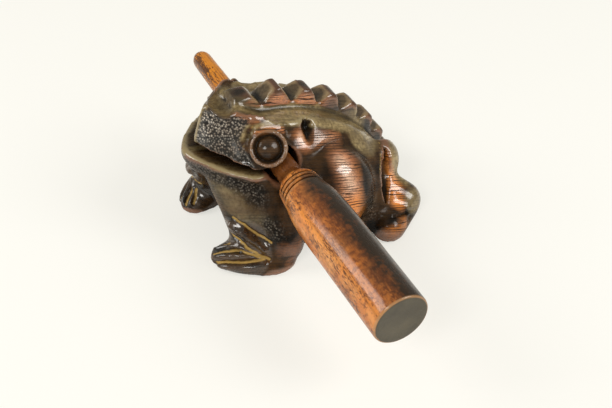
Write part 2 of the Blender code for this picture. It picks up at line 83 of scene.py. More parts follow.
# Cuts of the front feet: the toes, and the creases on both sides of the roll at the wrist.
FOOT_CUTS = {
    "wrist_top": (((22.0, -26.8, 21.2), (25.8, -23.5, 19.1), (28.7, -19.6, 15.3), (33.9, -16.0, 13.4)), 0.75, 1.0),
    "wrist_low": (((18.9, -27.0, 11.5), (24.6, -25.5, 11.7), (27.7, -22.5, 8.7), (31.0, -19.4, 6.9),
                   (34.6, -17.2, 6.5)), 0.75, 1.0),
    "inner_toe": (((16.5, -31.5, 4.8), (21.0, -27.6, 7.6)), 0.65, 0.7),
    "middle_toe": (((18.5, -34.6, 3.3), (22.4, -30.2, 6.4), (26.5, -25.0, 7.6), (32.5, -19.6, 6.6)), 0.7, 1.0),
    "outer_toe": (((22.5, -35.1, 2.1), (27.0, -30.7, 4.3), (31.4, -25.0, 5.9), (33.7, -19.1, 6.3)), 0.75, 1.1),
}
WRIST_ROLL = ((21.5, -27.1, 17.4), (25.5, -24.4, 16.2), (28.8, -20.8, 12.6), (32.5, -17.9, 9.9))
WRIST_ROLL_WIDTH = 1.2
WRIST_ROLL_RISE = 1.9
TOE_BACKS = (
    ((17.4, -32.8, 4.5), (20.6, -28.9, 7.0), (25.6, -25.7, 8.9), (31.5, -20.2, 7.4)),
    ((20.6, -34.9, 3.3), (25.0, -30.4, 6.0), (29.6, -24.2, 7.0), (33.0, -19.4, 6.6)),
    ((24.6, -34.9, 1.8), (29.6, -30.2, 3.2), (33.6, -24.4, 4.4), (35.4, -19.6, 5.0)),
)
TOE_BACK_WIDTH = 1.15
TOE_BACK_RISE = 1.0

# The groin cut, the outer edge of the lower lip, and the jaw under it.
GROIN = ((13.5, 43.0, 31.5), (21.3, 39.1, 25.1), (25.0, 37.5, 15.4), (33.0, 30.5, 7.6))
GROIN_FILL_WIDTH = 5.0
LIP_EDGE = ((0.0, -37.0, 41.3), (8.0, -34.6, 41.0), (15.0, -29.5, 40.3), (21.0, -23.0, 39.2), (25.0, -16.0, 38.2))
JAW = ((0.0, -35.0, 38.0), (8.6, -32.0, 37.6), (18.2, -25.0, 35.5), (25.0, -17.0, 33.0))

# Rear edge of the stippled snout: its height, and its place from front to back.
SNOUT_EDGE_Z = (36.0, 43.0, 46.6, 50.5, 57.6, 62.0)
SNOUT_EDGE_Y = (-16.0, -17.1, -18.2, -19.3, -14.5, -12.0)
SNOUT_TOP_Z = 58.0
SNOUT_SINK = 0.7

# Strokes of dust, wear and stain, and of painted shade and painted highlights, on the frog's left side: the points
# of the path, and its width.
STROKES = {
    "dusty_band": (((4.5, -17.0, 59.0), (7.2, -12.9, 57.3), (8.2, -8.0, 55.4), (9.2, -3.3, 53.4)), 3.2),
    "upper_arm": (((17.5, -28.5, 32.0), (24.0, -24.1, 24.6), (27.5, -19.7, 19.2)), 7.5),
    "lip_line": (LIP_EDGE, 4.6),
    "hip_roll": (((20.3, 42.0, 24.5), (23.0, 42.7, 18.5), (27.4, 41.7, 14.3), (30.5, 41.6, 10.4)), 3.4),
    "hind_toe": (((40.5, 33.7, 5.3), (37.7, 39.0, 5.4)), 3.0),
    "flank": (((20.0, 12.0, 44.5), (19.6, 17.5, 43.0)), 4.2),
    "cheek": (((18.4, 3.9, 47.6), (20.5, 4.4, 44.0)), 3.0),
    "brow": (((16.9, -13.4, 54.0), (16.8, -7.6, 53.9), (17.4, -2.7, 51.8)), 1.7),
    "forehead": (((4.0, -22.0, 59.5), (10.0, -18.3, 58.5), (15.0, -12.0, 56.0)), 1.4),
    "elbow": (((37.3, -11.9, 11.3), (36.7, -5.3, 10.8), (35.0, -9.0, 4.0)), 5.0),
    # Stippled patches; the ones behind the jaw and above the elbow also get painted shade.
    "behind_jaw": (((22.0, -21.5, 34.5), (25.5, -17.0, 29.5)), 3.2),
    "above_elbow": (((30.7, -15.7, 20.1), (33.5, -13.5, 17.5)), 3.0),
    "behind_knee": (((32.5, 27.0, 22.0), (34.0, 27.5, 12.0)), 3.0),
    # Painted shade along the front and back of the thigh and in the groin crease.
    "thigh_front": (((31.0, 9.6, 37.5), (34.6, 9.0, 31.0), (35.0, 9.0, 22.0)), 2.6),
    "thigh_back": (((30.0, 27.2, 29.0), (33.0, 27.0, 20.0)), 3.2),
    "groin": (GROIN, 3.2),
    "hip_rim": (((15.0, 40.6, 30.4), (19.9, 38.6, 27.8), (25.3, 35.6, 23.1)), 0.7),
    # Painted highlight: the lit side of the cut before the eye.
    "highlight_cut": (KNIFE_CUTS["cut_before_eye"][0], 0.7),
    # Painted highlights, as paler rubbed wood.
    "highlight_thigh": (((29.0, 15.0, 39.0), (33.0, 16.3, 35.5), (35.6, 16.8, 31.5)), 3.6),
    "highlight_roll": (((21.5, 43.0, 22.5), (24.0, 43.4, 17.0)), 1.8),
    "highlight_flank": (((19.0, 11.5, 45.5), (20.5, 17.0, 42.5)), 2.6),
    "highlight_cheek": (((18.4, 3.9, 47.6), (20.0, 4.2, 45.0)), 1.6),
}
# Round zones: the middle, the reach along each axis, and how soft the edge is.
ZONES = {
    "forehead_scoop": ((0.0, -20.5, 58.5), (10.0, 5.2, 5.0), 0.5),
    "scoop_rim": ((0.0, -20.5, 58.5), (14.0, 8.5, 7.5), 0.4),
    "hip_facet": ((14.0, 33.5, 36.5), (11.5, 10.0, 10.0), 0.35),
    "behind_roll": ((20.0, 48.0, 21.0), (10.0, 5.5, 13.0), 0.5),
    "heel": ((31.5, 49.0, 9.0), (6.5, 6.0, 6.0), 0.5),
    "thigh": ((31.0, 17.0, 27.0), (13.0, 16.0, 19.0), 0.35),
}
THIGH_CREST_Y, THIGH_CREST_WIDTH = 16.6, 5.2

# Striker, measured along its own axis from the middle of the bore.
BORE_D = 13.2
ROD_D = 9.5
ROD_SLACK = 0.3
BORE_HALF_LENGTH = 28.5
STRIKER_LEAN = math.radians(16.0)
STRIKER_DROP = math.atan((BORE_D / 2 - ROD_D / 2 - ROD_SLACK) / BORE_HALF_LENGTH)
STRIKER_SIDES = 72
STRIKER_CREASE = math.radians(38.0)
RING_COUNT = 3
RING_PITCH = 2.1
RING_START = 36.3
RING_RADIUS = 8.0
RING_GROWTH = 0.25
RING_GROOVE_X = 36.9
RING_RIDGE_X = 37.9
END_SHARES = (0.9, 0.35, 0.3)
END_DISH = 0.04
# Painted shade: these axes place the darker side of the striker, away from the light.
SHADE_AXES = ((0.879, 0.477), (-0.477, 0.879))

# Grain: the axes of the frog's left side (twice across the layers, then along the fibres), and the striker's turn.
FROG_GRAIN = ((-0.78, 0.387, -0.50), (-0.45, 0.22, 0.87), (0.445, 0.896, 0.0))
STRIKER_GRAIN_TURN = (0.0, math.radians(-93.0), 0.0)
LINES_PER_METRE = 900.0
GRAIN_SWAY = (0.002, 0.002, 0.002)
GRAIN_STRETCHES = ((0.3, 1.0, 0.035), (0.3, 1.0, 0.12), (1.0, 1.0, 0.26))
PIMPLES_PER_METRE = 1080.0

# Heights of the finest relief, in metres.
PIMPLE_HEIGHT = 0.0011
FURROW_DEPTH = 0.00012
TOOL_MARK_HEIGHT = 0.00005
PORE_DEPTH = 0.00005
FLECK_HEIGHT = 0.00003

# Colours of the frog.
STAIN_BLACK = (0.006, 0.004, 0.002)
STAIN_BROWN = (0.072, 0.036, 0.014)
BARE_LIGHT = (0.70, 0.260, 0.075)
BARE_RED = (0.42, 0.130, 0.044)
BARE_ORANGE = (0.82, 0.265, 0.034)
# Painted highlight: paler bare wood where the highlight falls on the rubbed thigh, roll, flank and cheek.
BARE_PALE_HIGHLIGHT = (0.80, 0.50, 0.34)
FURROW_DARK = (0.018, 0.011, 0.008)
PORE_DARK = (0.030, 0.017, 0.012)
FILM_DARK = (0.115, 0.078, 0.030)
FILM_LIGHT = (0.45, 0.335, 0.155)
EDGE_RED = (0.25, 0.110, 0.056)
EDGE_OLIVE = (0.33, 0.255, 0.125)
# Painted shade: near black for creases, hollows, cuts and grooves.
CREASE_SHADE_BLACK = (0.003, 0.002, 0.001)
# Painted shade in the stipple pits.
PIT_SHADE_BLACK = (0.012, 0.009, 0.006)
# Painted highlight: glints on the stipple bumps.
PAINTED_PIMPLE_GLINT = (0.74, 0.66, 0.56)
# Yellow dust in the cuts of the feet and on the hip rim, and a painted highlight along the cut before the eye.
CUT_DUST_AND_HIGHLIGHT = (0.43, 0.28, 0.085)

# Colours of the striker.
TURNED_LIGHT = (0.92, 0.330, 0.062)
TURNED_DARK = (0.29, 0.068, 0.012)
TURNED_PALE = (0.88, 0.43, 0.140)
ROD_ORANGE = (0.66, 0.235, 0.016)
STREAK_BROWN = (0.10, 0.038, 0.015)
TURNED_PORE = (0.070, 0.024, 0.009)
FLECK_BROWN = (0.13, 0.038, 0.010)
# Painted shade: the neck of the stick where it leaves the bore, under the frog's eye.
NECK_SHADE_BROWN = (0.085, 0.026, 0.006)
# Painted shade: the half-shaded band between the lit and the shaded side of the striker.
HALF_SHADE_BROWN = (0.235, 0.058, 0.012)
# Painted shade: the side of the striker away from the light.
SIDE_SHADE_BLACK = (0.015, 0.010, 0.005)
GROOVE_BLACK = (0.014, 0.009, 0.006)
# Painted highlight: the end rim and the ring ridges on the lit side.
RIM_HIGHLIGHT_TAN = (0.46, 0.25, 0.11)
END_DARK = (0.034, 0.027, 0.014)
END_OLIVE = (0.085, 0.070, 0.040)

# Paper, light and camera.
BLACK = (0.0, 0.0, 0.0)
PAPER_COLOUR = (0.950, 0.947, 0.918)
PAPER_WHITE = (0.995, 0.983, 0.920)
PAPER_LIT_SHARE = 0.4
PAPER_SIZE = 6.0
PAPER_PLACE = (0.0, 0.0, -0.0002)
TENT_COLOUR = (1.0, 0.960, 0.850)
TENT_STRENGTH = 0.37
LAMP_TINT = (1.0, 0.980, 0.940)
LAMP_AIM = (0.02, 0.0, 0.03)
LAMPS = (
    # Name, place, side in metres, watts.
    ("softbox_before_face", (-0.35, -0.77, 0.59), 0.50, 4.1),
    ("softbox_behind", (0.59, 0.59, 0.70), 0.52, 6.0),
    ("softbox_at_camera", (0.59, -0.70, 0.77), 0.34, 3.65),
)
CAMERA_PLACE = (0.308316, -0.137562, 0.278226)
CAMERA_AIM = (0.0312, 0.0, 0.025)
SENSOR_WIDTH = 36.0
FOCAL_PIXELS = 1055.4
PHOTO_WIDTH = 612.0


def smooth_step(low, high, value):
    """0 at low, 1 at high, an even curve between; low may be the larger of the two."""
    share = np.clip((value - low) / (high - low), 0.0, 1.0)
    return share * share * (3.0 - 2.0 * share)


def bell(distance, width):
    """1 at no distance, fading evenly on both sides."""
    return np.exp(-((distance / width) ** 2))


def strongest(*masks):
    return np.maximum.reduce(masks)


def path_distance(points, path):
    """Distance of every point from a path of straight pieces, and how far along the path, 0 to 1."""
    best = np.full(len(points), 1e9)
    along = np.zeros(len(points))
    corners = [np.array(p, float) for p in path]
    count = len(corners) - 1
    for i in range(count):
        start, span = corners[i], corners[i + 1] - corners[i]
        share = np.clip((points - start) @ span / (span @ span), 0.0, 1.0)
        gap = np.linalg.norm(points - start - share[:, None] * span, axis=1)
        nearer = gap < best
        best[nearer] = gap[nearer]
        along[nearer] = (i + share[nearer]) / count
    return best, along


def both_sides(path, shift=NO_SHIFT):
    """A path on the frog's left side and its mirror image on the right side."""
    far = tuple((-x + shift[0], y + shift[1], z + shift[2]) for x, y, z in path)
    return path, far


def deselect():
    if bpy.context.object and bpy.context.object.mode != "OBJECT":
        bpy.ops.object.mode_set(mode="OBJECT")
    bpy.ops.object.select_all(action="DESELECT")


def pick(obj):
    deselect()
    obj.select_set(True)
    bpy.context.view_layer.objects.active = obj


def apply_modifier(obj, kind, **values):
    modifier = obj.modifiers.new(kind.lower(), kind)
    for name, value in values.items():
        setattr(modifier, name, value)
    pick(obj)
    bpy.ops.object.modifier_apply(modifier=modifier.name)


def read_points(obj):
    """Points and outward normals of a mesh, points in millimetres."""
    count = len(obj.data.vertices)
    points = np.empty(count * 3)
    obj.data.vertices.foreach_get("co", points)
    normals = np.empty(count * 3)
    obj.data.vertex_normals.foreach_get("vector", normals)
    return points.reshape(-1, 3) / MM, normals.reshape(-1, 3)


def write_points(obj, points):
    obj.data.vertices.foreach_set("co", (points * MM).ravel())
    obj.data.update()


def write_mask(obj, name, values):
    """A value per point that the finish reads by name."""
    mask = obj.data.attributes.new(name, "FLOAT", "POINT")
    mask.data.foreach_set("value", np.clip(values, 0.0, 1.0).astype(np.float32))


def along_normals(offsets, normals):
    return np.einsum("ij,ij->i", offsets, normals)


def even_out(values, edges, rounds):
    """Mean of each point and its neighbours, several times over."""
    a, b = edges[:, 0], edges[:, 1]
    count = np.bincount(a, minlength=len(values)) + np.bincount(b, minlength=len(values)) + 1.0
    result = np.array(values, float)
    flat = result.ndim == 1
    if flat:
        result = result[:, None]
    for _ in range(rounds):
        total = result.copy()
        for k in range(result.shape[1]):
            column = result[:, k]
            total[:, k] += np.bincount(a, column[b], len(column)) + np.bincount(b, column[a], len(column))
        result = total / count[:, None]
    return result[:, 0] if flat else result


def mouth_height(y):
    """Height of the lower lip, which rises towards the nose."""
    return MOUTH_BORE[2] - MOUTH_DROP + (MOUTH_BORE[1] - y) * MOUTH_SLOPE


def snout_mask(points, normals):
    """The recessed, stippled cheeks of the snout above the mouth."""
    y, z = points[:, 1], points[:, 2]
    edge = np.interp(z, SNOUT_EDGE_Z, SNOUT_EDGE_Y)
    ahead = smooth_step(-0.6, 0.9, edge - y)
    below_brow = smooth_step(-0.6, 1.0, SNOUT_TOP_Z - z)
    above_lip = smooth_step(0.2, 1.6, z - mouth_height(y) - MOUTH_GAP * 0.5)
    beside_ridge = smooth_step(0.2, 1.6, np.abs(points[:, 0]))
    return ahead * below_brow * above_lip * beside_ridge * smooth_step(0.84, 0.68, normals[:, 2])


def spine_depth(points):
    """Depth below the arc of the tooth tips, positive inside."""
    y = (points[:, 1] - SPINE_MIDDLE[0]) / SPINE_SPAN[0]
    z = (points[:, 2] - SPINE_MIDDLE[1]) / SPINE_SPAN[1]
    return (1.0 - np.sqrt(y * y + z * z)) * SPINE_SPAN[1]


def near_ball(points, centre, radii, soft=0.3):
    """1 inside an egg shape on either side of the frog, fading to 0 at its edge."""
    side = points.copy()
    side[:, 0] = np.abs(side[:, 0])
    reach = np.linalg.norm((side - np.array(centre)) / np.array(radii), axis=1)
    return 1.0 - smooth_step(1.0 - soft, 1.0 + soft * 0.3, reach)


def near_path(points, path, width, shift=NO_SHIFT, skin=None):
    """1 on a path on either side of the frog, fading with the distance; with a skin, the path is laid on it."""
    best = np.zeros(len(points))
    for way in both_sides(path, shift):
        if skin:
            way = lay_on(skin, way)
        corners = np.array(way)
        low, high = corners.min(0) - 3.0 * width, corners.max(0) + 3.0 * width
        close = np.all((points > low) & (points < high), axis=1)
        gap, _ = path_distance(points[close], way)
        best[close] = np.maximum(best[close], bell(gap, width))
    return best


def make_skin(points):
    """A table of the surface's points, to find the nearest one."""
    skin = KDTree(len(points))
    for i, point in enumerate(points):
        skin.insert(point, i)
    skin.balance()
    return skin


def lay_on(skin, path):
    """The path in short steps, each moved to the nearest point of the surface."""
    laid = []
    for start, end in zip(path[:-1], path[1:]):
        start, end = Vector(start), Vector(end)
        count = max(int((end - start).length / PATH_STEP), 1)
        laid += [tuple(skin.find(start.lerp(end, i / count))[0]) for i in range(count)]
    laid.append(tuple(skin.find(Vector(path[-1]))[0]))
    return laid


def mesh_edges(obj):
    edges = np.empty(len(obj.data.edges) * 2, np.int64)
    obj.data.edges.foreach_get("vertices", edges)
    return edges.reshape(-1, 2)


def refine_where(obj, chosen):
    """Halve the mesh cells of the faces that are chosen by their middles."""
    count = len(obj.data.polygons)
    middles = np.empty(count * 3)
    obj.data.polygons.foreach_get("center", middles)
    pick(obj)
    bpy.context.tool_settings.mesh_select_mode = (False, False, True)
    bpy.ops.object.mode_set(mode="EDIT")
    bpy.ops.mesh.select_all(action="DESELECT")
    bpy.ops.object.mode_set(mode="OBJECT")
    obj.data.polygons.foreach_set("select", chosen(middles.reshape(-1, 3) / MM))
    bpy.ops.object.mode_set(mode="EDIT")
    bpy.ops.mesh.subdivide(number_cuts=1)
    bpy.ops.object.mode_set(mode="OBJECT")


def foot_zone(points):
    """1 on the front feet and wrists."""
    zone = np.zeros(len(points))
    for mirror, shift in ((1.0, NO_SHIFT), (-1.0, FAR_FOOT_SHIFT)):
        side = (points - np.array(shift)) * (mirror, 1.0, 1.0)
        reach = np.linalg.norm((side - FOOT_MIDDLE) / FOOT_REACH, axis=1)
        zone = np.maximum(zone, smooth_step(1.05, 0.85, reach))
    return zone


def eye_rings(points):
    """Distance from the middle of the nearer eye, square to the way it looks; far away elsewhere."""
    facing = np.array(EYE_FACING) / np.linalg.norm(EYE_FACING)
    ring = np.full(len(points), FAR_AWAY)
    for side in (1.0, -1.0):
        mirror = np.array((side, 1.0, 1.0))
        offset = points - np.array(EYE_FRONT) * mirror
        height = offset @ (facing * mirror)
        across = np.linalg.norm(offset - height[:, None] * facing * mirror, axis=1)
        here = (np.abs(height) < EYE_ZONE_DEPTH) & (points[:, 0] * side > EYE_ZONE_INNER_X)
        ring = np.where(here, np.minimum(ring, across), ring)
    return ring


def small_forms(points):
    """Where the carving is fine: the front feet, the eyes and the hind feet."""
    return (foot_zone(points) > 0.3) | (eye_rings(points) < EYE_ZONE_R) | (near_ball(points, *HIND_FOOT) > 0.3)


def add_eye_discs(frog):
    """A flat disc under each eye, so that its ring stays whole above the mouth bore."""
    facing = Vector(EYE_FACING).normalized()
    for side in (1.0, -1.0):
        out = Vector((facing.x * side, facing.y, facing.z))
        place = Vector((EYE_FRONT[0] * side, EYE_FRONT[1], EYE_FRONT[2])) * MM - out * (EYE_DISC_SINK * MM)
        deselect()
        bpy.ops.mesh.primitive_cylinder_add(vertices=EYE_DISC_SIDES, radius=EYE_DISC_R * MM,
                                            depth=EYE_DISC_THICK * MM, location=place,
                                            rotation=out.to_track_quat("Z", "Y").to_euler())
        frog.select_set(True)
        bpy.context.view_layer.objects.active = frog
        bpy.ops.object.join()


def fine_copy():
    """A copy of the CAD frog with discs for the eyes, all in small, even mesh cells."""
    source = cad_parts["frog_body"]
    frog = bpy.data.objects.new("carved_frog", source.data.copy())
    bpy.context.scene.collection.objects.link(frog)
    pick(frog)
    bpy.ops.object.mode_set(mode="EDIT")
    bpy.ops.mesh.select_all(action="SELECT")
    bpy.ops.mesh.remove_doubles(threshold=WELD * MM)
    bpy.ops.object.mode_set(mode="OBJECT")
    frog.data.materials.clear()
    add_eye_discs(frog)
    apply_modifier(frog, "REMESH", mode="VOXEL", voxel_size=VOXEL * MM)
    apply_modifier(frog, "SMOOTH", factor=0.5, iterations=3)
    return frog


def soften_edges(frog):
    """Blunt the lips and the brow, and fill the sharp creases at the toes and the groin."""
    edges = mesh_edges(frog)
    points, _ = read_points(frog)
    from_lip = np.abs(points[:, 2] - mouth_height(points[:, 1]) - MOUTH_GAP * 0.5)
    lip = smooth_step(2.4, 1.0, from_lip) * smooth_step(-9.0, -12.0, points[:, 1])
    from_brow = np.abs(points[:, 2] - SNOUT_TOP_Z)
    brow = smooth_step(3.0, 1.5, from_brow) * smooth_step(-13.0, -16.0, points[:, 1])
    blunt = np.maximum(lip, brow * 0.8)[:, None]
    write_points(frog, points + (even_out(points, edges, 9) - points) * blunt)
    for _ in range(3):
        points, normals = read_points(frog)
        fuller = even_out(points, edges, 28)
        lift = np.maximum(along_normals(fuller - points, normals), 0.0)
        toes = foot_zone(points) * smooth_step(14.0, 10.0, points[:, 2])
        share = np.maximum(toes, near_path(points, GROIN, GROIN_FILL_WIDTH) * 0.6)
        write_points(frog, points + normals * even_out(lift * share, edges, 2)[:, None])
    points, _ = read_points(frog)
    write_points(frog, points + (even_out(points, edges, 12) - points) * toes[:, None])


def knife_work(points, skin, push):
    """Press the cuts into push and raise the rolls; return the cuts and the dusty lines of the feet."""
    cuts = np.zeros(len(points))
    dust_lines = np.zeros(len(points))
    for path, width, depth in KNIFE_CUTS.values():
        for way in both_sides(path):
            gap, along = path_distance(points, lay_on(skin, way))
            blade = bell(gap, width) * (0.35 + 0.65 * np.sin(np.clip(along, 0.02, 0.98) * math.pi))
            push -= depth * blade
            cuts = np.maximum(cuts, blade)
    for path, width, depth in FOOT_CUTS.values():
        push -= depth * near_path(points, path, width, FAR_FOOT_SHIFT, skin)
        dust_lines = np.maximum(dust_lines, near_path(points, path, width * 0.9, FAR_FOOT_SHIFT, skin))
    push += WRIST_ROLL_RISE * near_path(points, WRIST_ROLL, WRIST_ROLL_WIDTH, FAR_FOOT_SHIFT, skin)
    for path in TOE_BACKS:
        push += TOE_BACK_RISE * near_path(points, path, TOE_BACK_WIDTH, FAR_FOOT_SHIFT, skin)
    return cuts, dust_lines


def carve_frog():
    """A fine copy of the frog, with the knife work, the eyes and the wrist rolls carved in."""
    frog = fine_copy()
    soften_edges(frog)
    refine_where(frog, small_forms)
    apply_modifier(frog, "SMOOTH", factor=0.5, iterations=2)

    edges = mesh_edges(frog)
    points, normals = read_points(frog)
    skin = make_skin(points)
    normals = even_out(normals, edges, 4)
    normals /= np.linalg.norm(normals, axis=1)[:, None]
    snout = snout_mask(points, normals)
    inside = spine_depth(points)
    push = -SNOUT_SINK * snout
    cuts, dust_lines = knife_work(points, skin, push)
    ring = eye_rings(points)
    eye_ball = np.clip(1.0 - (ring / EYE_BALL_R) ** 2, 0.0, 1.0)
    eye_groove = bell(ring - EYE_GROOVE_R, EYE_GROOVE_WIDTH)
    eye_rim = bell(ring - EYE_RIM_R, EYE_RIM_WIDTH)
    push += EYE_BALL_RISE * eye_ball - EYE_GROOVE_DEPTH * eye_groove + EYE_RIM_RISE * eye_rim
    points = points + normals * even_out(push, edges, 1)[:, None]
    points = even_out(points, edges, 1) * 0.3 + points * 0.7
    points[:, 2] = np.maximum(points[:, 2], 0.0)
    write_points(frog, points)
    paint_masks(frog, edges, snout, inside, cuts, dust_lines, eye_ball, eye_groove, eye_rim)
    for polygon in frog.data.polygons:
        polygon.use_smooth = True
    return frog


def surface_form(points, normals, edges):
    """How far each point stands out from its close surroundings, and 1 where it lies in a broad valley."""
    broad = even_out(points, edges, 15)
    hump = even_out(along_normals(points - broad, normals), edges, 2)
    broader = even_out(broad, edges, 40)
    valley = smooth_step(0.3, 1.4, -along_normals(points - broader, normals))
    return hump, valley


def spine_zones(points, normals, inside):
    """The ledges beside the spine, its teeth, their slopes and the rubbed sides of the spine."""
    x, y, z = np.abs(points[:, 0]), points[:, 1], points[:, 2]
    angle = np.arctan2(y - SPINE_MIDDLE[0], z - SPINE_MIDDLE[1])
    along_arc = normals[:, 1] * np.cos(angle) - normals[:, 2] * np.sin(angle)
    ledge = smooth_step(4.2, 5.4, inside) * smooth_step(11.0, 8.6, inside) * smooth_step(4.8, 5.8, x)
    ledge *= smooth_step(18.0, 15.0, x) * smooth_step(-26.0, -22.0, y) * smooth_step(0.25, 0.55, normals[:, 2])
    ledge *= smooth_step(58.0, 50.0, np.degrees(angle))
    teeth = smooth_step(6.5, 5.0, inside) * smooth_step(7.0, 5.5, x) * smooth_step(-21.0, -18.5, y)
    slopes = teeth * smooth_step(0.25, 0.6, np.abs(along_arc))
    sides = teeth * smooth_step(0.45, 0.75, np.abs(normals[:, 0])) * smooth_step(0.8, 2.2, inside)
    sides *= smooth_step(45.0, 20.0, np.degrees(angle))
    return ledge, teeth, slopes, sides


def paint_masks(frog, edges, snout, inside, cuts, dust_lines, eye_ball, eye_groove, eye_rim):
    """Where the stain is dark, rubbed off, dusty or stippled, and where shade and highlights are painted: one value
    per point for each.
    """
    points, normals = read_points(frog)
    x, y, z = np.abs(points[:, 0]), points[:, 1], points[:, 2]
    up = normals[:, 2]
    hump, valley = surface_form(points, normals, edges)
    hollow = smooth_step(0.10, 0.60, -hump)
    edge_wear = smooth_step(0.08, 0.50, hump)
    ledge, teeth, slopes, spine_sides = spine_zones(points, normals, inside)
    feet = foot_zone(points)
    stroke = {name: near_path(points, *row) for name, row in STROKES.items()}
    zone = {name: near_ball(points, *row) for name, row in ZONES.items()}

    # Olive dust, on what faces up and is seldom touched.
    over_lip = z - mouth_height(y)
    lip_top = smooth_step(-2.6, -1.7, over_lip) * smooth_step(0.45, 0.8, up)
    lip_top *= smooth_step(1.4, 0.2, over_lip) * smooth_step(-12.0, -15.0, y)
    lip_line = lip_top * stroke["lip_line"]
    nose_ridge = smooth_step(2.2, 0.8, x) * smooth_step(-24.0, -26.0, y) * smooth_step(38.0, 41.0, z)
    arm_plane = stroke["upper_arm"] * (1.0 - feet * smooth_step(21.5, 18.5, z - (25.8 - x) * 0.55))
    shallow = smooth_step(0.02, 0.15, -hump) * smooth_step(0.50, 0.28, -hump)
    dust = strongest(ledge, zone["forehead_scoop"] * 0.6, stroke["dusty_band"] * 0.85, slopes * 0.28,
                     zone["hip_facet"] * 0.95, lip_line * 0.5, zone["behind_roll"] * 0.85, zone["heel"] * 0.7,
                     arm_plane * 0.40, eye_rim * 0.14, nose_ridge * 0.9, feet * 0.10, shallow * 0.12)

    # Wear, where hands hold the frog.
    thigh = bell(y - THIGH_CREST_Y, THIGH_CREST_WIDTH) * zone["thigh"]
    wear = strongest(thigh, stroke["hip_roll"], stroke["hind_toe"] * 0.6, stroke["flank"] * 0.65,
                     stroke["cheek"] * 0.75, stroke["brow"] * 0.8, stroke["forehead"] * 0.45,
                     stroke["elbow"] * 0.3, spine_sides * 0.8)
    wear *= 1.0 - strongest(ledge, zone["forehead_scoop"], stroke["dusty_band"]) * 0.9
    # Painted highlight: paler spots on the rubbed thigh, hip roll, flank and cheek, where the highlight falls.
    pale = strongest(stroke["highlight_thigh"], stroke["highlight_roll"] * 0.4, stroke["highlight_flank"] * 0.8,
                     stroke["highlight_cheek"])
    edge_rub = edge_wear * (1.0 - snout) * (1.0 - 0.75 * feet) * (1.0 - 0.75 * zone["scoop_rim"])

    # Stipple, and painted shade in the hollows, creases, cuts and grooves and under the lip; dark stain on the
    # tooth tops.
    jaw_gap, _ = path_distance(np.column_stack([x, y, z]), JAW)
    under_lip = smooth_step(3.6, 1.8, jaw_gap) * smooth_step(0.6, 0.2, up)
    stipple = strongest(snout, under_lip * 0.6, stroke["behind_jaw"] * 0.7, stroke["above_elbow"] * 0.7,
                        stroke["behind_knee"] * 0.7)
    tooth_tops = teeth * (1.0 - slopes) * smooth_step(1.6, 0.6, inside) * (1.0 - spine_sides)
    groin = stroke["groin"] * smooth_step(0.15, -0.15, hump)
    # Painted shade: hollows, broad valleys, knife cuts, the eye groove, the front and back of the thigh, the groin,
    # under the lip, the lip shelf under the upper lip, behind the jaw and above the elbow are darkened as if in
    # shadow; the tooth tops get dark stain.
    shade_and_stain = strongest(hollow, valley * 0.95, cuts * 0.6, eye_groove * 0.9, stroke["thigh_front"] * 0.6,
                     stroke["thigh_back"], groin * 0.9, under_lip * 0.8, (lip_top - lip_line) * 0.75,
                     stroke["behind_jaw"] * 0.7, stroke["above_elbow"] * 0.8, tooth_tops * 0.65)
    gloss = strongest(wear, eye_ball * 0.35, feet, edge_wear, snout * 0.8, ledge * 0.5, zone["hip_facet"] * 0.6,
                      teeth * 0.6, arm_plane * 0.32, stroke["hip_roll"] * 0.7, zone["heel"])

    masks = {
        "snout_stipple": stipple,
        # Painted sheen: the glints grow brighter towards the nose ridge and the top of the snout.
        "panel_sheen": snout * smooth_step(17.0, 2.0, x) * smooth_step(40.0, 51.0, z),
        "rubbed_red": wear * (1.0 - hollow) * (1.0 - groin),
        "olive_dust": dust * (1.0 - snout * 0.8),
        # Yellow dust in the foot cuts and on the hip rim, and a painted highlight along the cut before the eye.
        "yellow_dust_and_highlight": strongest(dust_lines, stroke["hip_rim"] * 0.6, stroke["highlight_cut"] * 0.75),
        "stain_and_painted_shade": shade_and_stain * (1.0 - dust_lines),
        "edge_rub": edge_rub,
        "gloss": gloss,
        "rubbed_pale_highlight": pale * wear,
        "low_orange": smooth_step(33.0, 22.0, z) * smooth_step(6.0, 10.0, y),
    }
    for name, values in masks.items():
        write_mask(frog, name, values)


def striker_profile():
    """Place along the stick and radius, from the tip to the end of the handle, in millimetres."""
    rows = [(-57.9, 0.9), (-57.5, 1.9), (-56.6, 2.9), (-55.2, 3.6), (-53.6, 3.95), (-40.0, 4.15), (-20.0, 4.45),
            (0.0, 4.65), (20.0, 4.72), (29.2, 4.75), (30.8, 4.95), (31.8, 5.6), (33.6, 6.7), (35.5, 7.8),
            (36.1, 7.95)]
    for i in range(RING_COUNT):
        start = RING_START + RING_PITCH * i
        base = RING_RADIUS + RING_GROWTH * i
        rows += [(start, base), (start + 0.22, base - 0.1), (start + 0.4, base - 0.62), (start + 0.85, base - 0.66),
                 (start + 1.05, base - 0.05), (start + 1.3, base + 0.1), (start + 1.9, base + 0.16)]
    rows += [(43.2, 8.75), (45.0, 9.15), (47.5, 9.6), (50.5, 9.95), (55.0, 10.22), (62.0, 10.3), (75.0, 10.3),
             (90.0, 10.3), (104.0, 10.3), (107.6, 10.28), (108.1, 10.15), (108.4, 9.85), (108.5, 9.5)]
    return rows


def ring_marks(x, first, wide, narrow):
    """1 on each turned ring: the first one's place, and the half widths where the mark ends and is full."""
    marks = np.zeros(len(x))
    for i in range(RING_COUNT):
        marks = np.maximum(marks, smooth_step(wide, narrow, np.abs(x - (first + RING_PITCH * i))))
    return marks


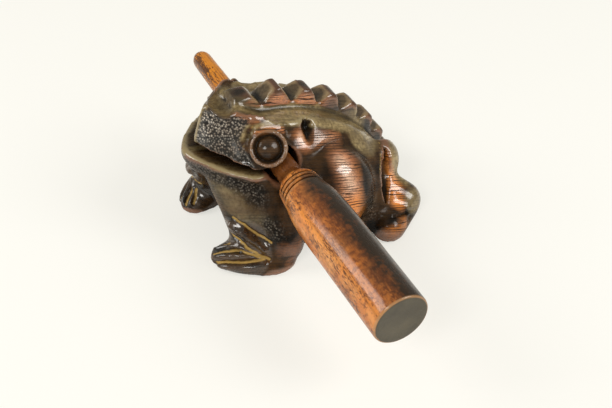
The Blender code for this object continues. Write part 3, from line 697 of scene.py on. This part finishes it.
def paint_striker(stick):
    """Where the stick is grooved or bare, and where shade and highlights are painted on it: one value per point for
    each.
    """
    points, _ = read_points(stick)
    x, y, z = points[:, 0], points[:, 1], points[:, 2]
    across, ahead = (y * axis[0] + z * axis[1] for axis in SHADE_AXES)
    around = np.arctan2(across, ahead)
    radius = np.hypot(y, z)
    # Painted shade: the side of the stick away from the light, and a half-shaded band beside it.
    shaded = smooth_step(-0.50, 0.85, around) * smooth_step(2.5, 1.9, around) * smooth_step(33.0, 42.0, x)
    half_shade = smooth_step(-0.95, 0.2, around) * smooth_step(2.9, 2.3, around) * smooth_step(33.0, 44.0, x)
    # Painted highlight: the rim of the end, and the ring ridges away from the shaded side.
    rim = smooth_step(107.7, 108.2, x) * smooth_step(9.3, 9.7, radius)
    ridge = ring_marks(x, RING_RIDGE_X, 0.75, 0.3)
    masks = {
        "shaded_side": shaded,
        "half_shaded_side": half_shade,
        "ring_groove": ring_marks(x, RING_GROOVE_X, 0.45, 0.15),
        "end_grain": smooth_step(108.0, 108.3, x) * smooth_step(9.9, 9.5, radius),
        "rim_highlight": np.maximum(rim, ridge * 0.6 * (1.0 - shaded)),
        "bright_rod": smooth_step(-15.0, -30.0, x),
        # Painted shade on the neck, under the frog's eye.
        "neck_shade": smooth_step(12.0, 22.0, x) * smooth_step(36.5, 33.0, x),
    }
    for name, values in masks.items():
        write_mask(stick, name, values)


def turn_striker():
    """The stick, drawn out ring by ring from a disc as on a lathe, and laid in the bore."""
    rows = striker_profile()
    deselect()
    tip_x, tip_radius = rows[0]
    bpy.ops.mesh.primitive_circle_add(vertices=STRIKER_SIDES, radius=tip_radius * MM, fill_type="NGON",
                                      location=(tip_x * MM, 0.0, 0.0), rotation=(0.0, math.pi / 2, 0.0))
    stick = bpy.context.object
    stick.name = "turned_striker"
    bpy.ops.object.transform_apply(location=True, rotation=True, scale=True)
    bpy.ops.object.mode_set(mode="EDIT")
    bpy.ops.mesh.select_all(action="SELECT")
    for (x0, r0), (x1, r1) in zip(rows[:-1], rows[1:]):
        bpy.ops.mesh.extrude_region_move(TRANSFORM_OT_translate={"value": ((x1 - x0) * MM, 0.0, 0.0)})
        bpy.ops.transform.resize(value=(1.0, r1 / r0, r1 / r0), center_override=(x1 * MM, 0.0, 0.0))
    for share in END_SHARES:
        bpy.ops.mesh.extrude_region_move(TRANSFORM_OT_translate={"value": (-END_DISH * MM, 0.0, 0.0)})
        bpy.ops.transform.resize(value=(1.0, share, share), center_override=(rows[-1][0] * MM, 0.0, 0.0))
    bpy.ops.mesh.select_all(action="SELECT")
    bpy.ops.mesh.remove_doubles(threshold=WELD * MM * 0.1)
    bpy.ops.mesh.normals_make_consistent(inside=False)
    bpy.ops.object.mode_set(mode="OBJECT")
    paint_striker(stick)
    lean = Matrix.Rotation(STRIKER_LEAN, 4, "X")
    drop = Matrix.Rotation(STRIKER_DROP, 4, "Y")
    place = Matrix.Translation(Vector(MOUTH_BORE) * MM)
    stick.data.transform(place @ lean @ drop @ lean.inverted())
    pick(stick)
    bpy.ops.object.shade_smooth_by_angle(angle=STRIKER_CREASE)
    return stick


def feed(tree, socket, value):
    """Set an input, or link it where the value comes from another node."""
    if isinstance(value, bpy.types.NodeSocket):
        tree.links.new(value, socket)
    else:
        socket.default_value = value


def add_node(tree, kind, values=None, **settings):
    """A node with its settings, and with values or links on its inputs."""
    node = tree.nodes.new(kind)
    for name, value in settings.items():
        setattr(node, name, value)
    for name, value in (values or {}).items():
        feed(tree, node.inputs[name], value)
    return node


def opaque(colour):
    """A colour with full cover; a colour from another node stays as it is."""
    return colour if isinstance(colour, bpy.types.NodeSocket) else (*colour, 1.0)


def mix_colour(tree, share, first, second):
    """The first colour, with a share of the second one laid over it."""
    node = add_node(tree, "ShaderNodeMix", data_type="RGBA", clamp_factor=True)
    for slot, value in ((0, share), (6, opaque(first)), (7, opaque(second))):
        feed(tree, node.inputs[slot], value)
    return node.outputs[2]


def maths(tree, operation, first, second=0.0, clamp=False):
    values = {0: first, 1: second}
    return add_node(tree, "ShaderNodeMath", values, operation=operation, use_clamp=clamp).outputs[0]


def times(tree, first, second):
    return maths(tree, "MULTIPLY", first, second)


def plus(tree, first, second):
    return maths(tree, "ADD", first, second)


def minus(tree, first, second):
    return maths(tree, "SUBTRACT", first, second)


def larger(tree, first, second):
    return maths(tree, "MAXIMUM", first, second)


def vector_maths(tree, operation, first, second):
    return add_node(tree, "ShaderNodeVectorMath", {0: first, 1: second}, operation=operation).outputs[0]


def in_range(tree, value, low, high, to_low=0.0, to_high=1.0):
    """The value stretched from one range to another, and held there."""
    node = add_node(tree, "ShaderNodeMapRange", {"Value": value, "From Min": low, "From Max": high,
                                                 "To Min": to_low, "To Max": to_high}, clamp=True)
    return node.outputs[0]


def noise(tree, vector, scale, detail, roughness=0.5):
    """A soft random pattern, as a value."""
    values = {"Vector": vector, "Scale": scale, "Detail": detail, "Roughness": roughness}
    return add_node(tree, "ShaderNodeTexNoise", values).outputs[0]


def grain_group():
    """Wood grain along the third axis of its vector: thin lines, short pores and broad bands."""
    group = bpy.data.node_groups.new("wood_grain", "ShaderNodeTree")
    group.interface.new_socket("Vector", in_out="INPUT", socket_type="NodeSocketVector")
    group.interface.new_socket("Lines per metre", in_out="INPUT", socket_type="NodeSocketFloat")
    for name in ("Lines", "Pores", "Bands"):
        group.interface.new_socket(name, in_out="OUTPUT", socket_type="NodeSocketFloat")
    entry = group.nodes.new("NodeGroupInput")
    leave = group.nodes.new("NodeGroupOutput")
    vector = entry.outputs["Vector"]
    waver = add_node(group, "ShaderNodeTexNoise", {"Vector": vector, "Scale": 60.0, "Detail": 2.0})
    sway = vector_maths(group, "MULTIPLY", waver.outputs["Color"], GRAIN_SWAY)
    bent = vector_maths(group, "ADD", vector, sway)
    long_way, mid_way, short_way = (vector_maths(group, "MULTIPLY", bent, stretch) for stretch in GRAIN_STRETCHES)

    # Lines: a steady beat across the layers that drifts, and swells and thins along the fibres.
    across = add_node(group, "ShaderNodeSeparateXYZ", {"Vector": vector}).outputs[1]
    count = times(group, across, entry.outputs["Lines per metre"])
    drift = times(group, noise(group, long_way, 330.0, 2.0), 2.6)
    beat = maths(group, "FRACT", plus(group, count, drift))
    off_line = maths(group, "ABSOLUTE", minus(group, beat, 0.5))
    thick = in_range(group, noise(group, mid_way, 620.0, 1.0), 0.34, 0.62, 0.02, 0.20)
    feed(group, leave.inputs["Lines"], in_range(group, minus(group, thick, off_line), -0.03, 0.07))

    # Pores: fine dashes that crowd together in clusters.
    dashes = noise(group, short_way, 2000.0, 2.0, 0.6)
    cluster = times(group, minus(group, noise(group, short_way, 190.0, 2.0), 0.5), 0.8)
    feed(group, leave.inputs["Pores"], in_range(group, plus(group, dashes, cluster), 0.52, 0.66))
    feed(group, leave.inputs["Bands"], in_range(group, noise(group, long_way, 240.0, 2.0), 0.32, 0.68))
    return group


def new_finish(name, roughness, coat):
    """A lacquered finish: the material, its nodes and its shader."""
    material = bpy.data.materials.new(name)
    material.use_nodes = True
    tree = material.node_tree
    shader = tree.nodes["Principled BSDF"]
    shader.inputs["Roughness"].default_value = roughness
    shader.inputs["Coat Weight"].default_value = coat
    shader.inputs["Coat Roughness"].default_value = 0.15
    shader.inputs["Coat IOR"].default_value = 1.7
    shader.inputs["Specular IOR Level"].default_value = 0.1
    return material, tree, shader


def mask_of(tree, name):
    return add_node(tree, "ShaderNodeAttribute", attribute_name=name).outputs["Fac"]


def blend_by(tree, mask, pattern, strength, low, high):
    """A mask with its edge broken up by a pattern."""
    ragged = times(tree, minus(tree, pattern, 0.5), strength)
    return in_range(tree, plus(tree, mask, ragged), low, high)


def grain_of(tree, grain, vector):
    """Lines, pores and bands of the wood along the third axis of the vector."""
    wood = add_node(tree, "ShaderNodeGroup", node_tree=grain)
    feed(tree, wood.inputs["Vector"], vector)
    feed(tree, wood.inputs["Lines per metre"], LINES_PER_METRE)
    return wood.outputs["Lines"], wood.outputs["Pores"], wood.outputs["Bands"]


def raise_relief(tree, shader, height):
    """Fine relief from a height in metres."""
    relief = add_node(tree, "ShaderNodeBump", {"Strength": 1.0, "Distance": 1.0, "Height": height})
    feed(tree, shader.inputs["Normal"], relief.outputs[0])


def along_frog_grain(tree, place):
    """The place in the axes of the grain, the same on both sides of the frog."""
    parts = add_node(tree, "ShaderNodeSeparateXYZ", {"Vector": place}).outputs
    near_side = add_node(tree, "ShaderNodeCombineXYZ", {0: maths(tree, "ABSOLUTE", parts[0]), 1: parts[1],
                                                        2: parts[2]}).outputs[0]
    turned = add_node(tree, "ShaderNodeCombineXYZ")
    for k, axis in enumerate(FROG_GRAIN):
        share = add_node(tree, "ShaderNodeVectorMath", {0: near_side, 1: axis}, operation="DOT_PRODUCT")
        feed(tree, turned.inputs[k], share.outputs["Value"])
    return turned.outputs[0]


def stained_finish(grain):
    """Dark stain under lacquer, rubbed red on the limbs, with dust in the cuts and on the ledges."""
    material, tree, shader = new_finish("stained_carving", 0.34, 0.5)
    place = add_node(tree, "ShaderNodeTexCoord").outputs["Object"]
    lines, pores, bands = grain_of(tree, grain, along_frog_grain(tree, place))
    cloud = noise(tree, place, 150.0, 4.0)
    speck = noise(tree, place, 700.0, 3.0)
    stipple, red = mask_of(tree, "snout_stipple"), mask_of(tree, "rubbed_red")
    olive, yellow = mask_of(tree, "olive_dust"), mask_of(tree, "yellow_dust_and_highlight")
    shade_and_stain, rub = mask_of(tree, "stain_and_painted_shade"), mask_of(tree, "edge_rub")

    # Stain, and the bare wood where it is rubbed off.
    streaky = plus(tree, cloud, times(tree, minus(tree, bands, 0.5), 0.35))
    stain = mix_colour(tree, in_range(tree, streaky, 0.32, 0.68), STAIN_BLACK, STAIN_BROWN)
    bare = mix_colour(tree, bands, BARE_LIGHT, BARE_RED)
    bare = mix_colour(tree, times(tree, mask_of(tree, "low_orange"), 0.95), bare, BARE_ORANGE)
    # Painted highlight: paler bare wood where the highlight falls.
    bare = mix_colour(tree, mask_of(tree, "rubbed_pale_highlight"), bare, BARE_PALE_HIGHLIGHT)
    colour = mix_colour(tree, blend_by(tree, red, cloud, 0.55, 0.10, 0.85), stain, bare)
    furrow = times(tree, lines, in_range(tree, red, 0.05, 0.45, 0.42, 0.92))
    colour = mix_colour(tree, furrow, colour, FURROW_DARK)
    dash = times(tree, pores, in_range(tree, red, 0.0, 0.4, 0.15, 0.45))
    colour = mix_colour(tree, dash, colour, PORE_DARK)

    # Dusty film, rubbed edges, and painted shade in the creases and hollows.
    film_light = times(tree, in_range(tree, speck, 0.25, 0.72), in_range(tree, bands, 0.0, 1.0, 1.0, 0.25))
    film = mix_colour(tree, film_light, FILM_DARK, FILM_LIGHT)
    dusty = times(tree, blend_by(tree, olive, cloud, 0.4, 0.10, 0.80),
                  in_range(tree, plus(tree, bands, lines), 0.3, 1.8, 1.0, 0.68))
    colour = mix_colour(tree, dusty, colour, film)
    worn = mix_colour(tree, in_range(tree, olive, 0.05, 0.4), EDGE_RED, EDGE_OLIVE)
    colour = mix_colour(tree, times(tree, blend_by(tree, rub, speck, 0.5, 0.25, 0.95), 0.8), colour, worn)
    # Painted shade: creases, hollows, cuts and grooves darkened nearly to black.
    colour = mix_colour(tree, times(tree, shade_and_stain, 0.95), colour, CREASE_SHADE_BLACK)

    # Stipple: painted shade in the pits between small bumps, and painted glints on some bumps, brighter towards the
    # nose ridge and the top of the snout.
    pimples = add_node(tree, "ShaderNodeTexVoronoi", {"Vector": place, "Scale": PIMPLES_PER_METRE,
                                                      "Randomness": 0.88})
    from_tip = pimples.outputs["Distance"]
    pit_shade = times(tree, stipple, in_range(tree, from_tip, 0.36, 0.62))
    colour = mix_colour(tree, times(tree, pit_shade, 0.92), colour, PIT_SHADE_BLACK)
    lucky = add_node(tree, "ShaderNodeSeparateColor", {"Color": pimples.outputs["Color"]}).outputs[0]
    glint = times(tree, in_range(tree, from_tip, 0.56, 0.16), in_range(tree, lucky, 0.0, 1.0, 0.35, 1.0))
    painted_sheen = in_range(tree, mask_of(tree, "panel_sheen"), 0.0, 1.0, 0.34, 1.0)
    colour = mix_colour(tree, times(tree, stipple, times(tree, glint, painted_sheen)), colour, PAINTED_PIMPLE_GLINT)
    # Yellow dust in the foot cuts and on the hip rim, and a painted highlight along the cut before the eye.
    colour = mix_colour(tree, blend_by(tree, yellow, speck, 0.7, 0.40, 0.80), colour, CUT_DUST_AND_HIGHLIGHT)
    feed(tree, shader.inputs["Base Color"], colour)

    # Lacquer: dull in dust, furrows and creases.
    dull = larger(tree, times(tree, olive, 0.15), yellow)
    rough = plus(tree, in_range(tree, speck, 0.3, 0.7, 0.22, 0.34), times(tree, dull, 0.28))
    rough = maths(tree, "ADD", rough, times(tree, furrow, 0.3), clamp=True)
    feed(tree, shader.inputs["Roughness"], rough)
    uncoated = larger(tree, larger(tree, dull, furrow), times(tree, shade_and_stain, 0.75))
    coated = maths(tree, "SUBTRACT", 1.0, uncoated, clamp=True)
    gloss = in_range(tree, mask_of(tree, "gloss"), 0.1, 0.7, 0.10, 1.0)
    feed(tree, shader.inputs["Coat Weight"], times(tree, coated, gloss))

    domes = times(tree, times(tree, maths(tree, "POWER", from_tip, 2.0), stipple), -PIMPLE_HEIGHT)
    scratches = times(tree, furrow, -FURROW_DEPTH)
    tool_marks = times(tree, speck, TOOL_MARK_HEIGHT)
    raise_relief(tree, shader, plus(tree, plus(tree, domes, scratches), tool_marks))
    return material


def striker_finish(grain):
    """Orange-brown turned wood with dark flecks, painted shade on the upper side away from the light and at the
    neck, painted highlights on the rim and ring ridges, and a dull end.
    """
    material, tree, shader = new_finish("turned_wood", 0.34, 0.45)
    place = add_node(tree, "ShaderNodeTexCoord").outputs["Object"]
    turned = add_node(tree, "ShaderNodeMapping", {"Vector": place, "Rotation": STRIKER_GRAIN_TURN})
    lines, pores, bands = grain_of(tree, grain, turned.outputs[0])
    cloud = noise(tree, place, 110.0, 4.0)
    speck = noise(tree, place, 600.0, 4.0)
    shaded, groove = mask_of(tree, "shaded_side"), mask_of(tree, "ring_groove")
    end, rim = mask_of(tree, "end_grain"), mask_of(tree, "rim_highlight")
    rod, neck_in_shade = mask_of(tree, "bright_rod"), mask_of(tree, "neck_shade")

    # Wood: bands, pale clouds, streaks, pores and flecks.
    colour = mix_colour(tree, bands, TURNED_LIGHT, TURNED_DARK)
    colour = mix_colour(tree, in_range(tree, cloud, 0.45, 0.70, 0.0, 0.55), colour, TURNED_PALE)
    colour = mix_colour(tree, rod, colour, ROD_ORANGE)
    streak = times(tree, lines, in_range(tree, rod, 0.0, 1.0, 0.22, 0.55))
    colour = mix_colour(tree, streak, colour, STREAK_BROWN)
    colour = mix_colour(tree, times(tree, pores, 0.90), colour, TURNED_PORE)
    fleck = times(tree, in_range(tree, speck, 0.50, 0.66), in_range(tree, cloud, 0.35, 0.60, 0.75, 0.35))
    fleck = times(tree, fleck, in_range(tree, rod, 0.0, 1.0, 1.0, 0.3))
    colour = mix_colour(tree, fleck, colour, FLECK_BROWN)
    # Painted shade on the neck, under the frog's eye.
    colour = mix_colour(tree, times(tree, neck_in_shade, 0.9), colour, NECK_SHADE_BROWN)

    # Painted shade on the side away from the light, in half and in full; dark grooves; painted highlights on the
    # rim and the lit ring ridges; a dull end.
    mottle = times(tree, plus(tree, cloud, speck), 0.5)
    half_shade = blend_by(tree, mask_of(tree, "half_shaded_side"), mottle, 1.6, 0.15, 1.0)
    half_shade = times(tree, half_shade, in_range(tree, bands, 0.0, 1.0, 0.70, 0.95))
    colour = mix_colour(tree, half_shade, colour, HALF_SHADE_BROWN)
    side_shade = times(tree, blend_by(tree, shaded, mottle, 1.5, 0.10, 0.95), in_range(tree, shaded, 0.0, 0.2))
    colour = mix_colour(tree, times(tree, side_shade, 0.97), colour, SIDE_SHADE_BLACK)
    colour = mix_colour(tree, groove, colour, GROOVE_BLACK)
    # Painted highlight on the rim and the lit ring ridges.
    colour = mix_colour(tree, times(tree, rim, 0.75), colour, RIM_HIGHLIGHT_TAN)
    dull = mix_colour(tree, in_range(tree, cloud, 0.25, 0.75), END_DARK, END_OLIVE)
    colour = mix_colour(tree, end, colour, dull)
    feed(tree, shader.inputs["Base Color"], colour)

    rough = plus(tree, in_range(tree, speck, 0.3, 0.7, 0.26, 0.38), times(tree, end, 0.15))
    feed(tree, shader.inputs["Roughness"], rough)
    raise_relief(tree, shader, plus(tree, times(tree, pores, -PORE_DEPTH), times(tree, speck, FLECK_HEIGHT)))
    return material


def paper_finish():
    """Cream paper that the lamps light in part; the rest is even white that only the camera sees."""
    material = bpy.data.materials.new("cream_paper")
    material.use_nodes = True
    tree = material.node_tree
    shader = tree.nodes["Principled BSDF"]
    shader.inputs["Roughness"].default_value = 0.9
    shader.inputs["Specular IOR Level"].default_value = 0.1
    shader.inputs["Emission Strength"].default_value = 1.0
    seen = add_node(tree, "ShaderNodeLightPath").outputs["Is Camera Ray"]
    lit = tuple(PAPER_LIT_SHARE * part for part in PAPER_COLOUR)
    white = tuple((1.0 - PAPER_LIT_SHARE) * part for part in PAPER_WHITE)
    feed(tree, shader.inputs["Base Color"], mix_colour(tree, seen, PAPER_COLOUR, lit))
    feed(tree, shader.inputs["Emission Color"], mix_colour(tree, seen, BLACK, white))
    return material


def lay_floor():
    deselect()
    bpy.ops.mesh.primitive_plane_add(size=PAPER_SIZE, location=PAPER_PLACE)
    floor = bpy.context.object
    floor.name = "paper_floor"
    floor.data.materials.append(paper_finish())


def look_at(holder, place, target):
    """Put a lamp or the camera in its place, and turn it to the target."""
    holder.location = place
    aim = Vector(target) - holder.location
    holder.rotation_euler = aim.to_track_quat("-Z", "Y").to_euler()


def light_table():
    """A light tent: a dim warm room, which the camera sees as white, and three soft lamps round the frog."""
    world = bpy.data.worlds.new("tent")
    bpy.context.scene.world = world
    world.use_nodes = True
    tree = world.node_tree
    room = tree.nodes["Background"]
    room.inputs["Color"].default_value = opaque(TENT_COLOUR)
    seen = add_node(tree, "ShaderNodeLightPath").outputs["Is Camera Ray"]
    feed(tree, room.inputs["Strength"], in_range(tree, seen, 0.0, 1.0, TENT_STRENGTH, 1.0))
    for name, place, size, power in LAMPS:
        lamp = bpy.data.lights.new(name, "AREA")
        lamp.shape = "SQUARE"
        lamp.size = size
        lamp.energy = power
        lamp.color = LAMP_TINT
        holder = bpy.data.objects.new(name, lamp)
        bpy.context.scene.collection.objects.link(holder)
        look_at(holder, place, LAMP_AIM)


def set_camera():
    """The photograph's viewing angle and angle of view."""
    lens = bpy.data.cameras.new("camera")
    lens.sensor_width = SENSOR_WIDTH
    lens.lens = SENSOR_WIDTH * FOCAL_PIXELS / PHOTO_WIDTH
    camera = bpy.data.objects.new("camera", lens)
    bpy.context.scene.collection.objects.link(camera)
    look_at(camera, CAMERA_PLACE, CAMERA_AIM)
    bpy.context.scene.camera = camera


set_camera()
light_table()
lay_floor()
grain = grain_group()
frog = carve_frog()
frog.data.materials.append(stained_finish(grain))
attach(frog, "frog")
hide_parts("frog_body")
striker = turn_striker()
striker.data.materials.append(striker_finish(grain))
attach(striker, "striker")
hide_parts("striker")
bpy.context.scene.view_settings.view_transform = "Standard"
